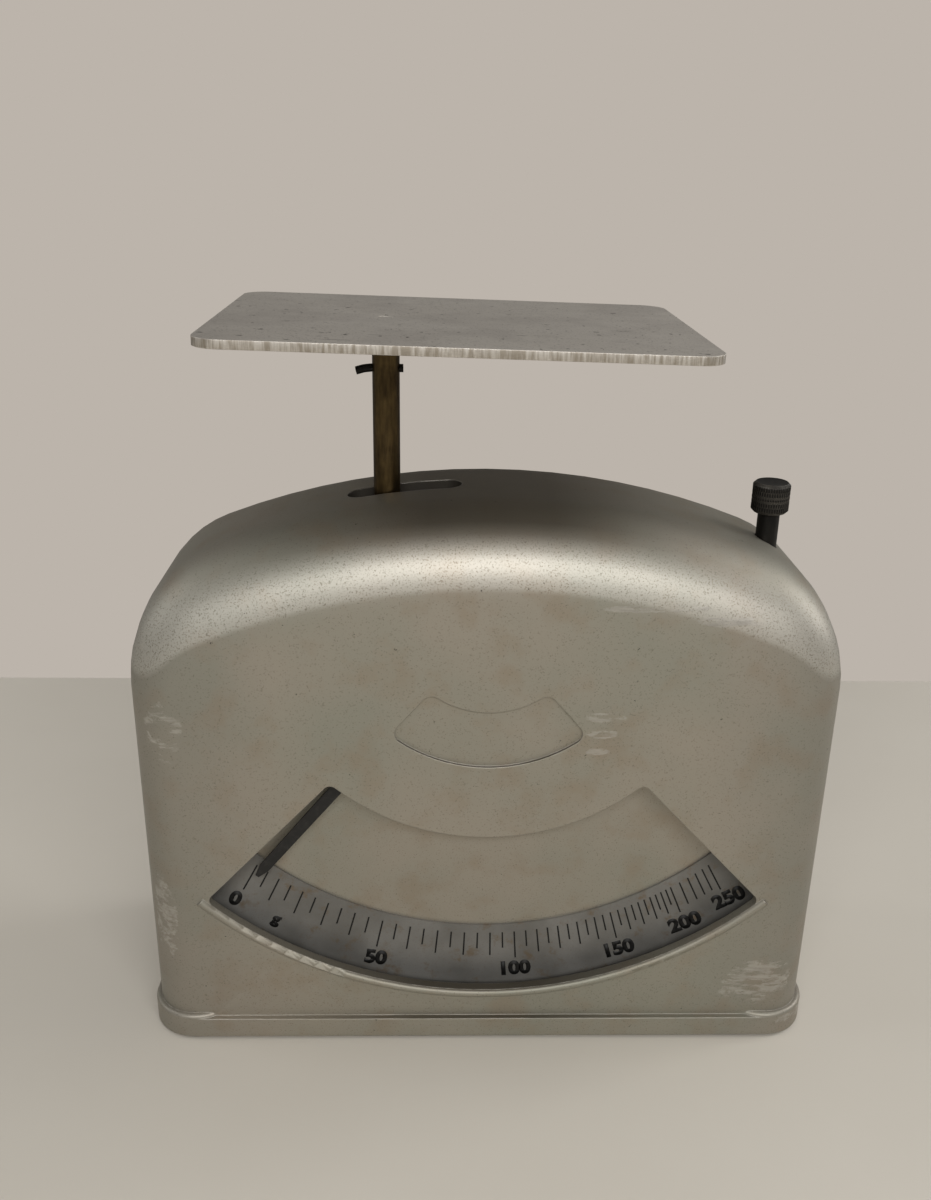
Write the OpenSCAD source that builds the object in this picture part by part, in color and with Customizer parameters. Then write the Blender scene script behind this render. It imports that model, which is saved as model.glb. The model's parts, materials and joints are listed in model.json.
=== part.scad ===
// Self-indicating pendulum letter and prescription scale, 0 to 250 g.
// Millimetres, +Z up, the front of the scale looks along -Y.
// The origin is the centre of the footprint on the table.

/* [Casing] */
// Width of the cast casing above its foot flange
case_w = 140; // [134:1:150]
// Depth of the casing, front face to back face
case_d = 50.2; // [48:0.2:58]
// Height of the crown above the table
case_h = 116.6; // [113:0.2:120]
// Wall of the casting
wall = 2; // [1.6:0.1:2.4]
// Radius of the shallow arc across the crown
crown_r = 149.3; // [120:1:200]
// Radius of the shoulders between crown and sides
shoulder_r = 24.8; // [20:0.2:30]
// Rounding of the crown into the front and back faces
crown_edge_r = 16; // [12:0.5:18]
// Rounding of the upright corners
side_edge_r = 8.5; // [6:0.5:10]
// Gap between the casing and the table
foot_gap = 0.6; // [0.4:0.1:1.5]
// Step of the foot flange beyond the walls
flange_step = 1.2; // [0.8:0.1:2]
// Height of the foot flange
flange_h = 4.6; // [3:0.1:6]
// Radius of the bead along the top of the flange
bead_r = 0.8; // [0.5:0.1:1.2]

/* [Window] */
// Radius of the upper arc of the window, about the pivot
window_top_r = 45.6; // [42:0.2:48]
// Radius of the lower arc of the window, about the pivot
window_low_r = 83.6; // [80:0.2:84]
// Half angle of the fan-shaped window
window_half = 43.1; // [42.5:0.1:45]
// Rounding of the window corners
window_corner_r = 1.6; // [1:0.1:3]
// Radius of the raised lip below the window
lip_r = 1; // [0.7:0.1:1.2]

/* [Bare panel] */
// Radius of the panel's upper arc, about the pivot
panel_top_r = 17.6; // [16:0.2:20]
// Radius of the panel's lower arc, about the pivot
panel_low_r = 29.6; // [26:0.2:32]
// Half angle of the panel
panel_half = 40.5; // [30:0.5:45]
// Rounding of the panel corners
panel_corner_r = 2.2; // [1:0.1:3]
// Depth of the panel recess
panel_depth = 0.6; // [0.3:0.1:0.8]

/* [Balance] */
// Height of the balance pivot above the table
pivot_z = 95.5; // [94:0.1:97]
// Length of the short arm from the pivot to the column
arm_l = 21.6; // [20:0.1:22.5]
// Rise of the short arm above level when the platform is empty
arm_rise = 20; // [16:0.5:22]
// Load that balances the pendulum a quarter turn from its own plumb line, in grams
balance_load = 127; // [115:1:140]
// Largest load on the dial, in grams
full_load = 250; // [200:10:260]
// Mass that hangs on the short arm with no load, in grams
tare_mass = 37; // [34:0.5:40]
// Radius of the counterweight drum
weight_r = 12.5; // [12:0.1:13]
// Length of the counterweight drum
weight_l = 26; // [25:0.2:26]
// Density of the counterweight metal, in grams per cubic millimetre
weight_density = 0.0085; // [0.0078:0.0001:0.0088]
// Diameter of the threaded rod that carries the counterweight
weight_rod_d = 4; // [3:0.5:4.5]
// Diameter of the balance arbor
arbor_d = 3; // [2.5:0.1:3.5]
// Thickness of the lever cheeks and of the stay link
lever_t = 1.5; // [1:0.1:1.8]
// Height of the stay link's fixed pivot above the table
stay_z = 35.5; // [34:0.5:38]
// Diameter of the link pins
link_pin_d = 2.2; // [1.8:0.1:2.4]

/* [Needle and dial] */
// Angle of the needle left of plumb at rest
needle_rest = 39.3; // [38:0.1:40]
// Reach of the needle from the pivot
needle_reach = 74.4; // [70:0.2:76]
// Width of the needle at the hub
needle_root_w = 3.2; // [2.4:0.1:4]
// Width of the needle at the tip
needle_tip_w = 2.2; // [1.6:0.1:2.6]
// Thickness of the needle
needle_t = 0.5; // [0.4:0.1:0.8]
// Angle of the zero mark left of plumb
zero_mark = 40; // [39:0.1:40.5]
// Radius of the upper edge of the dial strip
strip_top_r = 71.6; // [70:0.2:72.4]
// Radius of the lower edge of the dial strip
strip_low_r = 89.5; // [88:0.1:89.5]
// Thickness of the dial strip
strip_t = 0.5; // [0.4:0.1:0.8]
// Radius where the graduations start
mark_r = 73.6; // [73:0.2:75]
// Length of the long graduations
mark_long = 6.9; // [6:0.1:8]
// Width of a graduation
mark_w = 0.34; // [0.2:0.02:0.5]
// Depth of a graduation in the strip
mark_depth = 0.12; // [0.08:0.01:0.2]
// Height on the centre line where the graduations would meet
mark_focus_z = 128; // [120:1:200]
// Thickness of the dial back plate
back_t = 1; // [0.8:0.1:1.2]

/* [Platform] */
// Width of the platform
platform_w = 89.6; // [80:0.2:100]
// Depth of the platform
platform_d = 65.6; // [60:0.2:80]
// Thickness of the platform sheet
platform_t = 1.6; // [1:0.1:2.5]
// Corner radius of the platform
platform_corner_r = 5; // [3:0.5:8]
// Height of the platform's top face above the table, at the column
platform_z = 148.9; // [148:0.1:156]
// Place of the column left of the platform's centre
platform_offset = 13.7; // [0:0.1:20]
// Lean of the platform down to the right
platform_lean = 1.3; // [0:0.1:2]
// Outer diameter of the tubular column
column_d = 5.3; // [4.6:0.1:5.4]
// Bore of the tubular column
column_bore = 4.1; // [3.4:0.1:4.2]
// Diameter of the cross pin under the platform
cross_pin_d = 1.6; // [1.2:0.1:2]
// Width of the slot that the column passes through
slot_w = 6.5; // [6.3:0.1:8]
// Room that the slot leaves right of the column's travel
slot_room = 2.5; // [1.5:0.1:3.5]
// Room that the slot leaves left of the column's travel
slot_left_room = 4; // [3:0.1:4.5]

/* [Zero adjuster] */
// Distance of the thumb screw from the casing's right side
screw_inset = 12.8; // [12:0.1:14]
// Diameter of the screw's smooth stem
stem_d = 4.4; // [4:0.1:4.8]
// Diameter of the knurled head
head_d = 7.5; // [6.5:0.1:9]
// Height of the knurled head
head_h = 6.2; // [5:0.1:8]
// Height of the head's top above the table
head_z = 117.4; // [116:0.2:120]
// Diameter of the screw's threaded shank
shank_d = 3; // [2.5:0.1:3.2]
// Pitch of the shank's thread
screw_pitch = 0.5; // [0.35:0.05:0.6]
// Height of the traveller nut above the table
nut_z = 80; // [79:0.5:81]
// Height of the rocker pin above the table
rocker_z = 12; // [12:0.5:13]
// Diameter of the rocker pin
rocker_d = 4; // [3:0.1:4.4]

/* [Frame and base] */
// Thickness of the frame cheeks
cheek_t = 1.5; // [1:0.1:1.6]
// Width of the frame's straps
strap_w = 8; // [7:0.5:9]
// Diameter of the posts between the cheeks
post_d = 5; // [4:0.1:5.5]
// Thickness of the base plate
base_t = 1.6; // [1.2:0.1:2]
// Diameter of the rubber feet
foot_d = 9; // [7:0.5:11]
// Diameter of the casing's screw bosses
boss_d = 8; // [7:0.2:8.4]

/* [Fits] */
// Running clearance on the radius of a bearing
run_gap = 0.05; // [0.02:0.01:0.08]
// Free space on the radius where a part passes through a hole
pass_gap = 0.15; // [0.12:0.01:0.3]
// Free space between parts that pass side by side
side_gap = 0.3; // [0.2:0.05:0.35]

/* [Hidden] */

$fn = 48;
cut = 0.5;

// Casing
half_w = case_w / 2;
screw_x = half_w - screw_inset;
half_d = case_d / 2;
front_y = -half_d;
crown_z = case_h - crown_r;
inner_front_y = front_y + wall;
crown_steps = 8;
shoulder_steps = 9;
edge_steps = 9;
lip_rise = 0.35 * lip_r;
lip_half = window_half + 0.6;
boss_side_gap = 1.6;
boss_face_gap = 1.5;
boss_x = half_w - wall - boss_d / 2 - boss_side_gap;
boss_y = half_d - wall - boss_d / 2 - boss_face_gap;
boss_top = 20;
boss_rib = 2.4;
boss_rib_l = boss_d / 2 + 2;
crown_pad = 3;
base_screw_d = 3;
base_screw_head_d = 5.6;
base_screw_l = 9;
base_sink = 0.8 * base_t;

// Base
base_z = 2 * foot_gap;
base_top = base_z + base_t;
base_gap = 0.25;
foot_x = half_w - 20;
foot_y = half_d - 12;
foot_chamfer = 0.3;

// Balance kinematics
arm_reach = arm_l * cos(arm_rise);
arm_z = pivot_z + arm_l * sin(arm_rise);
column_x = -arm_reach;
side_moment = arm_l * tare_mass * cos(arm_rise);
plumb_moment = arm_l * (balance_load + tare_mass * sin(arm_rise));
weight_mass = weight_density * weight_l * PI * pow(weight_r, 2);
weight_lead = atan2(side_moment, plumb_moment);
weight_reach = norm([side_moment, plumb_moment]) / weight_mass;
full_turn = load_turn(full_load);
over_turn = full_turn + 1;
under_turn = 2;
full_arm = over_turn - arm_rise;
column_left = -arm_l;
column_right = -arm_l * cos(full_arm);
slot_left = column_left - column_d / 2 - slot_left_room;
slot_right = column_right + column_d / 2 + slot_room;

// Widths across the balance, measured from the middle plane
lever_in = column_d / 2 + 0.55;
lever_out = lever_in + lever_t;
cheek_in = weight_l / 2 + 1.3;
cheek_out = cheek_in + cheek_t;
sleeve_r = 3;
hub_r = 5;
hub_half = 7;
lever_w = 6.4;
eye_r = 3.6;
pin_head = 0.8;
arbor_end = 1;
rod_start = arbor_d / 2 + 0.7;
rod_end = weight_reach + weight_r - 3;
weight_chamfer = 1;
lock_nut_h = 2.4;
lock_nut_d = 8;

// Dial, measured from the front face inwards
needle_y = front_y + 4.1;
needle_eye_r = 4.4;
needle_collar_d = 5;
needle_hub_d = 7;
needle_hub_l = 3;
needle_chisel = 2.4;
needle_point_w = 0.8;
strip_y = front_y + 6.1;
back_y = strip_y + strip_t;
back_rear_y = back_y + back_t;
back_half_w = half_w - wall - 5;
back_low_half_w = boss_x - boss_d / 2 - 1;
back_notch_z = boss_top + 2;
back_top_z = pivot_z - 27.5;
back_low_z = pivot_z - strip_low_r - 1;
strip_half = window_half + 0.7;
tab_half = strip_half + 4.6;
tab_low_r = strip_top_r + 11;
rivet_turn = strip_half + 2.5;
rivet_r = strip_top_r + 5.5;
rivet_d = 1.6;
rivet_head = 0.5;
mark_mid = 0.86;
mark_short = 0.6;
dial_screw_x = back_half_w - 12;
dial_screw_top_z = back_top_z - 6;
dial_screw_low_z = boss_top - 4;
dial_low_inset = 5;
dial_boss_d = 6;
dial_screw_d = 2.5;
dial_screw_head_d = 4.5;
dial_screw_head = 1;
needle_rear_y = needle_y + needle_t / 2;
arbor_front_y = needle_y - needle_t - 0.9;

// Frame, which rocks on a pin straight below the balance pivot
frame_rocker = [0, rocker_z];
frame_stay = [0, stay_z];
frame_pivot = [0, pivot_z];
frame_nut = [screw_x, nut_z];
frame_low = [38, stay_z + 13];
post_low = frame_rocker + 0.37 * (frame_low - frame_rocker);
post_top = frame_pivot + [10, 10.5];
posts = [post_low, post_top, frame_low];
pivot_disc_r = 8;
stop_r = 1.5;
stop_reach = 16;
stop_gap = 0.15;
stop_side = lever_w / 2 + stop_r + stop_gap;
upper_stop = stop_place(180 - arm_rise - under_turn, -stop_side);
lower_stop = stop_place(180 - arm_rise + over_turn, stop_side);
cheek_screw_d = 2.5;
cheek_screw_head_d = 4.4;
cheek_screw_head = 1.1;
cheek_screw_l = 6;
trunnion_d = 3;
screw_turns = 2;
trunnion_run = 2 * screw_turns * screw_pitch * (nut_z - rocker_z) / screw_x + 0.8;
bush_outer_d = 6;
bush_flange_d = 8;
bush_flange = 0.8;
bracket_t = 1.5;
bracket_half_w = 7;
bracket_out = cheek_in - side_gap;
bracket_eye_r = 4;
bracket_screw_y = 6;
bracket_screw_d = 2.5;
bracket_screw_head = 1.4;

// Zero adjuster
journal_d = stem_d - 1;
bush_top_z = 100;
bush_l = 5;
bush_d = 7;
collar_d = 8;
collar_l = 3;
collar_top_z = bush_top_z - bush_l - 0.05;
screw_boss_d = 10;
shank_end_z = nut_z - 7;
nut_w = 9;
nut_half_y = 6;
nut_h = 8;

// Column and platform
stay_end = [column_x, stay_z + arm_l * sin(arm_rise)];
column_low_z = stay_end[1] - 3.4;
platform_lift = column_d / 2 * sin(platform_lean) + 0.01;
column_top_z = platform_z - platform_t / cos(platform_lean) - platform_lift;
cross_pin_z = column_top_z - 7.9;
cross_pin_left = 3.1;
cross_pin_right = 0.7;
stud_d = column_bore;
stud_l = 12;
stud_tenon_d = 3;

// Angle that a load turns the balance through, from the balance of moments
function load_turn(load) =
    load == 0 ? 0 : 90 - atan((balance_load / load - sin(arm_rise)) / cos(arm_rise));

// Point on the lever at an angle from +X, shifted sideways from the lever's line
function stop_place(turn, side) =
    frame_pivot + stop_reach * [cos(turn), sin(turn)] + side * [-sin(turn), cos(turn)];

// How far a rounded edge draws in at depth y
function draw_in(y, d2, r) =
    abs(y) <= d2 - r ? 0 : r - sqrt(max(0, pow(r, 2) - pow(abs(y) - d2 + r, 2)));

// Right half of the casing's outline, from the foot to the crown's middle
function half_outline(w2, low_z, arc_r, arc_z, round_r) =
    let (
        cx = w2 - round_r,
        cz = arc_z + sqrt(pow(arc_r - round_r, 2) - pow(cx, 2)),
        meet = atan2(cz - arc_z, cx)
    )
    concat(
        [[w2, low_z]],
        [for (i = [0:shoulder_steps])
            let (a = meet * i / shoulder_steps)
            [cx + round_r * cos(a), cz + round_r * sin(a)]],
        [for (i = [1:crown_steps])
            let (a = meet + (90 - meet) * i / crown_steps)
            [arc_r * cos(a), arc_z + arc_r * sin(a)]]
    );

// The whole outline, mirrored without repeating the crown's middle point
function outline(w2, low_z, arc_r, arc_z, round_r) =
    let (
        right = half_outline(w2, low_z, arc_r, arc_z, round_r),
        n = len(right)
    )
    concat(right, [for (i = [n - 2:-1:0]) [-right[i][0], right[i][1]]]);

// Depths of the rings that form the dome, closer together towards the faces
function ring_depths(d2, r) =
    let (front = [for (i = [0:edge_steps]) d2 - r + r * sin(90 * i / edge_steps)])
    concat([for (i = [edge_steps:-1:0]) -front[i]], front);

// Domed shell body: every ring is the outline drawn in by both roundings
module dome(inward, low_z) {
    d2 = half_d - inward;
    edge_top = crown_edge_r - inward;
    edge_side = side_edge_r - inward;
    depths = ring_depths(d2, edge_top);
    rings = [for (y = depths)
        let (
            top = draw_in(y, d2, edge_top),
            side = draw_in(y, d2, edge_side),
            flat = outline(half_w - inward - side, low_z, crown_r - inward - top,
                crown_z, shoulder_r - inward - (top + side) / 2)
        )
        [for (p = flat) [p[0], y, p[1]]]];
    n = len(rings[0]);
    last = len(rings) - 1;
    walls = [for (k = [0:last - 1], i = [0:n - 1])
        let (a = k * n + i, b = k * n + (i + 1) % n)
        each [[a, b, a + n], [b, b + n, a + n]]];
    ends = [[for (i = [n - 1:-1:0]) i], [for (i = [0:n - 1]) last * n + i]];
    polyhedron([for (ring = rings) each ring], concat(walls, ends));
}

// Flat shape in the X-Z plane, extruded from depth y towards the back
module upright(y, t) {
    translate([0, y + t, 0]) rotate([90, 0, 0]) linear_extrude(t) children();
}

// Cylinder along Y between two depths, centred on p = [x, z]
module pin_y(p, d, y1, y2) {
    translate([p[0], y1, p[1]]) rotate([-90, 0, 0]) cylinder(h = y2 - y1, d = d);
}

// Straight bar with round ends between two points, a hair slimmer than its ends
module strap(p, q, w) {
    run = q - p;
    slim = w - 0.04;
    translate(p) circle(d = w);
    translate(q) circle(d = w);
    translate(p) rotate(atan2(run[1], run[0]))
        translate([0, -slim / 2]) square([norm(run), slim]);
}

// Ring sector below the pivot, half the given angle to each side of plumb
module sector(r1, r2, half) {
    reach = 2 * r2;
    translate(frame_pivot) intersection() {
        difference() {
            circle(r = r2, $fn = 180);
            circle(r = r1, $fn = 120);
        }
        polygon([[0, 0], [-reach * sin(half), -reach * cos(half)],
            [reach * sin(half), -reach * cos(half)]]);
    }
}

// Ring sector with its four corners rounded
module soft_sector(r1, r2, half, c) {
    inner_turn = half - asin(c / (r1 + c));
    outer_turn = half - asin(c / (r2 - c));
    sector(r1, r2, inner_turn);
    sector(r1 + c, r2, outer_turn);
    for (s = [-1, 1])
        strap(around(r1 + c, s * inner_turn), around(r2 - c, s * outer_turn), 2 * c);
}

// Point at a radius and a turn right of plumb, about the pivot
function around(r, turn) = frame_pivot + r * [sin(turn), -cos(turn)];

module rounded_plan(w, d, r) {
    for (sx = [-1, 1], sy = [-1, 1])
        translate([sx * (w / 2 - r), sy * (d / 2 - r)]) circle(r = r);
    square([w - 2 * r, d], center = true);
    square([w, d - 2 * r], center = true);
}

// Half-round bead around a rounded rectangle
module bead(w, d, r, bead_r) {
    for (sx = [-1, 1], sy = [-1, 1])
        translate([sx * (w / 2 - r), sy * (d / 2 - r), 0])
            rotate_extrude() translate([r, 0]) circle(r = bead_r, $fn = 24);
    for (sy = [-1, 1])
        translate([r - w / 2, sy * d / 2, 0]) rotate([0, 90, 0])
            cylinder(h = w - 2 * r, r = bead_r, $fn = 24);
    for (sx = [-1, 1])
        translate([sx * w / 2, r - d / 2, 0]) rotate([-90, 0, 0])
            cylinder(h = d - 2 * r, r = bead_r, $fn = 24);
}

module at_bosses() {
    for (sx = [-1, 1], sy = [-1, 1])
        translate([sx * boss_x, sy * boss_y, 0]) children();
}

module at_dial_screws() {
    for (s = [-1, 1]) {
        translate([s * dial_screw_x, 0, dial_screw_top_z]) children();
        translate([s * (back_low_half_w - dial_low_inset), 0, dial_screw_low_z]) children();
    }
}

module casing_foot() {
    translate([0, 0, foot_gap]) linear_extrude(flange_h)
        rounded_plan(case_w + 2 * flange_step, case_d + 2 * flange_step,
            side_edge_r + flange_step);
    translate([0, 0, foot_gap + flange_h])
        bead(case_w + 2 * (flange_step - bead_r), case_d + 2 * (flange_step - bead_r),
            side_edge_r + flange_step - bead_r, bead_r);
}

// Raised lip that follows the window's lower arc
module window_lip() {
    translate([0, front_y + lip_rise, 0]) rotate([90, 0, 0]) translate(frame_pivot)
        rotate(-90 - lip_half)
            rotate_extrude(angle = 2 * lip_half, $fn = 240)
                translate([window_low_r + lip_r, 0]) circle(r = lip_r, $fn = 24);
}

module casing_bosses() {
    at_bosses() translate([0, 0, base_top]) cylinder(h = boss_top - base_top, d = boss_d);
    for (sx = [-1, 1], sy = [-1, 1]) translate([sx * boss_x, sy * boss_y, (base_top + boss_top) / 2]) {
        translate([0, sy * boss_rib_l / 2, 0])
            cube([boss_rib, boss_rib_l, boss_top - base_top], center = true);
        translate([sx * boss_rib_l / 2, 0, 0])
            cube([boss_rib_l, boss_rib, boss_top - base_top], center = true);
    }
    at_dial_screws() pin_y([0, 0], dial_boss_d, inner_front_y - wall / 2, back_y);
    translate([screw_x, 0, bush_top_z - bush_l])
        cylinder(h = case_h - bush_top_z - crown_pad, d = screw_boss_d);
}

module casing() {
    color("silver") difference() {
        union() {
            difference() {
                union() {
                    dome(0, foot_gap);
                    casing_foot();
                    window_lip();
                }
                dome(wall, foot_gap - cut);
            }
            intersection() {
                casing_bosses();
                dome(wall / 2, foot_gap);
            }
        }
        upright(front_y - lip_r - cut, wall + lip_r + 2 * cut)
            soft_sector(window_top_r, window_low_r, window_half, window_corner_r);
        upright(front_y - cut, cut + panel_depth)
            soft_sector(panel_top_r, panel_low_r, panel_half, panel_corner_r);
        translate([0, 0, arm_z + eye_r]) linear_extrude(case_h)
            strap([slot_left + slot_w / 2, 0], [slot_right - slot_w / 2, 0], slot_w);
        translate([screw_x, 0, bush_top_z - cut])
            cylinder(h = case_h, d = stem_d + 2 * pass_gap);
        translate([screw_x, 0, bush_top_z - bush_l - cut])
            cylinder(h = bush_l + cut, d = bush_d);
        at_bosses() translate([0, 0, base_top - cut])
            cylinder(h = base_screw_l + cut, d = base_screw_d);
        at_dial_screws() pin_y([0, 0], dial_screw_d, inner_front_y, back_y + cut);
    }
}

module base_plate() {
    color("dimgray") difference() {
        translate([0, 0, base_z]) linear_extrude(base_t)
            rounded_plan(case_w - 2 * (wall + base_gap), case_d - 2 * (wall + base_gap),
                side_edge_r - wall - base_gap);
        at_bosses() translate([0, 0, base_z - cut])
            cylinder(h = base_t + 2 * cut, d = base_screw_d);
        at_bosses() translate([0, 0, base_z])
            cylinder(h = base_sink, d1 = base_screw_head_d, d2 = base_screw_d);
        for (s = [-1, 1]) translate([0, s * bracket_screw_y, base_z - cut])
            cylinder(h = base_t + 2 * cut, d = bracket_screw_d);
    }
}

module base_screws() {
    color("gray") at_bosses() {
        translate([0, 0, base_z]) cylinder(h = base_t + base_screw_l, d = base_screw_d);
        translate([0, 0, base_z])
            cylinder(h = base_sink, d1 = base_screw_head_d, d2 = base_screw_d);
    }
}

module rubber_feet() {
    color([0.12, 0.12, 0.12]) for (sx = [-1, 1], sy = [-1, 1])
        translate([sx * foot_x, sy * foot_y, 0]) rotate_extrude()
            polygon([[0, 0], [foot_d / 2 - foot_chamfer, 0], [foot_d / 2, foot_chamfer],
                [foot_d / 2, base_z], [0, base_z]]);
}

module dial_back_plate() {
    color("silver") difference() {
        upright(back_y, back_t) polygon([
            [-back_low_half_w, back_low_z], [back_low_half_w, back_low_z],
            [back_low_half_w, back_notch_z], [back_half_w, back_notch_z],
            [back_half_w, back_top_z], [-back_half_w, back_top_z],
            [-back_half_w, back_notch_z], [-back_low_half_w, back_notch_z]]);
        at_dial_screws() pin_y([0, 0], dial_screw_d, back_y - cut, back_rear_y + cut);
        for (s = [-1, 1]) pin_y(around(rivet_r, s * rivet_turn), rivet_d,
            back_y - cut, back_rear_y + cut);
    }
}

// Graduations every 5 g up to 200 g and every 10 g beyond, placed by the law of the balance
module dial_marks() {
    for (load = [each [0:5:195], each [200:10:full_load]]) {
        start = around(mark_r, load_turn(load) - zero_mark);
        share = load % 50 == 0 ? 1 : load % 10 == 0 ? mark_mid : mark_short;
        length = share * mark_long;
        lean = atan2(start[0], mark_focus_z - start[1]);
        upright(strip_y - cut, cut + mark_depth) translate(start) rotate(lean)
            translate([-mark_w / 2, -length]) square([mark_w, length]);
    }
}

module dial_strip() {
    color([0.62, 0.62, 0.62]) difference() {
        upright(strip_y, strip_t) {
            sector(strip_top_r, strip_low_r, strip_half);
            sector(strip_top_r, tab_low_r, tab_half);
        }
        for (s = [-1, 1]) pin_y(around(rivet_r, s * rivet_turn), rivet_d,
            strip_y - cut, back_y + cut);
        dial_marks();
    }
}

module dial_rivets() {
    color("gray") for (s = [-1, 1]) {
        place = around(rivet_r, s * rivet_turn);
        pin_y(place, rivet_d, strip_y, back_rear_y);
        pin_y(place, 2 * rivet_d, strip_y - rivet_head, strip_y);
        pin_y(place, 2 * rivet_d, back_rear_y, back_rear_y + rivet_head);
    }
}

module dial_screws() {
    color("gray") at_dial_screws() {
        pin_y([0, 0], dial_screw_d, inner_front_y, back_rear_y);
        pin_y([0, 0], dial_screw_head_d, back_rear_y, back_rear_y + dial_screw_head);
    }
}

module rocker_bracket() {
    color("dimgray") difference() {
        union() {
            translate([-bracket_half_w, -bracket_out, base_top])
                cube([2 * bracket_half_w, 2 * bracket_out, bracket_t]);
            for (s = [0, 1]) mirror([0, s, 0]) upright(-bracket_out, bracket_t) {
                translate(frame_rocker) circle(r = bracket_eye_r);
                translate([-bracket_eye_r, base_top])
                    square([2 * bracket_eye_r, rocker_z - base_top]);
            }
        }
        pin_y(frame_rocker, rocker_d, -cheek_out, cheek_out);
        for (s = [-1, 1]) translate([0, s * bracket_screw_y, base_top - cut])
            cylinder(h = bracket_t + 2 * cut, d = bracket_screw_d);
    }
}

module bracket_screws() {
    color("gray") for (s = [-1, 1]) translate([0, s * bracket_screw_y, base_z]) {
        cylinder(h = base_t + bracket_t, d = bracket_screw_d);
        translate([0, 0, base_t + bracket_t])
            cylinder(h = bracket_screw_head, d = 2 * bracket_screw_d);
    }
}

module rocker_pin() {
    color("gray") pin_y(frame_rocker, rocker_d, -cheek_out - pin_head, cheek_out + pin_head);
}

module screw_bush() {
    color("darkgoldenrod") translate([screw_x, 0, bush_top_z - bush_l]) difference() {
        cylinder(h = bush_l, d = bush_d);
        translate([0, 0, -cut]) cylinder(h = bush_l + 2 * cut, d = journal_d + 2 * run_gap);
    }
}

module cheek_outline() {
    strap(frame_rocker, frame_pivot, strap_w);
    strap(frame_rocker, frame_low, strap_w);
    strap(frame_low, frame_nut, strap_w);
    strap(frame_pivot, frame_nut, strap_w);
    strap(frame_pivot, post_top, strap_w);
    strap(frame_pivot, upper_stop, strap_w - 1);
    strap(frame_pivot, lower_stop, strap_w - 1);
    translate(frame_pivot) circle(r = pivot_disc_r);
}

module cheek() {
    difference() {
        upright(-cheek_out, cheek_t) cheek_outline();
        pin_y(frame_rocker, rocker_d + 2 * run_gap, -cheek_out - cut, -cheek_in + cut);
        pin_y(frame_pivot, bush_outer_d, -cheek_out - cut, -cheek_in + cut);
        pin_y(frame_stay, arbor_d, -cheek_out - cut, -cheek_in + cut);
        for (p = posts) pin_y(p, cheek_screw_d, -cheek_out - cut, -cheek_in + cut);
        for (p = [upper_stop, lower_stop])
            pin_y(p, 2 * stop_r, -cheek_out - cut, -cheek_in + cut);
        upright(-cheek_out - cut, cheek_t + 2 * cut)
            strap(frame_nut - [trunnion_run / 2, 0], frame_nut + [trunnion_run / 2, 0],
                trunnion_d + 2 * run_gap);
    }
}

module front_cheek() {
    color("slategray") cheek();
}

// The rear cheek is the front one turned over, without the stop pin holes
module rear_cheek() {
    color("slategray") union() {
        mirror([0, 1, 0]) cheek();
        for (p = [upper_stop, lower_stop]) pin_y(p, 2 * stop_r, cheek_in, cheek_out);
    }
}

module cheek_posts() {
    color("gray") for (p = posts) difference() {
        pin_y(p, post_d, -cheek_in, cheek_in);
        for (s = [-1, 1])
            pin_y(p, cheek_screw_d, s * cheek_in - cheek_screw_l, s * cheek_in + cheek_screw_l);
    }
}

module cheek_screws() {
    color("gray") for (p = posts, s = [0, 1]) mirror([0, s, 0]) {
        pin_y(p, cheek_screw_d, -cheek_out, cheek_screw_l - cheek_in);
        pin_y(p, cheek_screw_head_d, -cheek_out - cheek_screw_head, -cheek_out);
    }
}

module arbor_bushes() {
    color("darkgoldenrod") for (s = [0, 1]) mirror([0, s, 0]) difference() {
        union() {
            pin_y(frame_pivot, bush_outer_d, -cheek_out, -cheek_in);
            pin_y(frame_pivot, bush_flange_d, -cheek_in, bush_flange - cheek_in);
        }
        pin_y(frame_pivot, arbor_d + 2 * run_gap, -cheek_out - cut, bush_flange - cheek_in + cut);
    }
}

module stay_pin() {
    color("gray") pin_y(frame_stay, arbor_d, -cheek_out - pin_head, cheek_out + pin_head);
}

module stop_pins() {
    color("gray") for (p = [upper_stop, lower_stop])
        pin_y(p, 2 * stop_r, -cheek_out, -lever_in);
}

module arbor() {
    color("gray") pin_y(frame_pivot, arbor_d, arbor_front_y, cheek_out + arbor_end);
}

module lever_outline() {
    difference() {
        union() {
            strap(frame_pivot, [column_x, arm_z], lever_w);
            translate(frame_pivot) circle(r = hub_r + 1);
            translate([column_x, arm_z]) circle(r = eye_r);
        }
        translate([column_x, arm_z]) circle(d = link_pin_d);
    }
}

module lever() {
    color("silver") difference() {
        union() {
            pin_y(frame_pivot, 2 * hub_r, -hub_half, hub_half);
            upright(-lever_out, lever_t) lever_outline();
            upright(lever_in, lever_t) lever_outline();
        }
        pin_y(frame_pivot, arbor_d, -hub_half - cut, hub_half + cut);
        along_rod(rod_start) cylinder(h = rod_end - rod_start, d = weight_rod_d);
    }
}

// Axes with Z along the weight rod, away from the pivot
module along_rod(start) {
    translate([0, 0, pivot_z]) rotate([0, 180 - weight_lead, 0]) translate([0, 0, start])
        children();
}

module upper_link_pin() {
    color("gray") {
        pin_y([column_x, arm_z], link_pin_d, -lever_out, lever_out);
        for (s = [0, 1]) mirror([0, s, 0])
            pin_y([column_x, arm_z], 2 * link_pin_d, -lever_out - pin_head, -lever_out);
    }
}

module weight_rod() {
    color("gray") along_rod(rod_start) cylinder(h = rod_end - rod_start, d = weight_rod_d);
}

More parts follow.
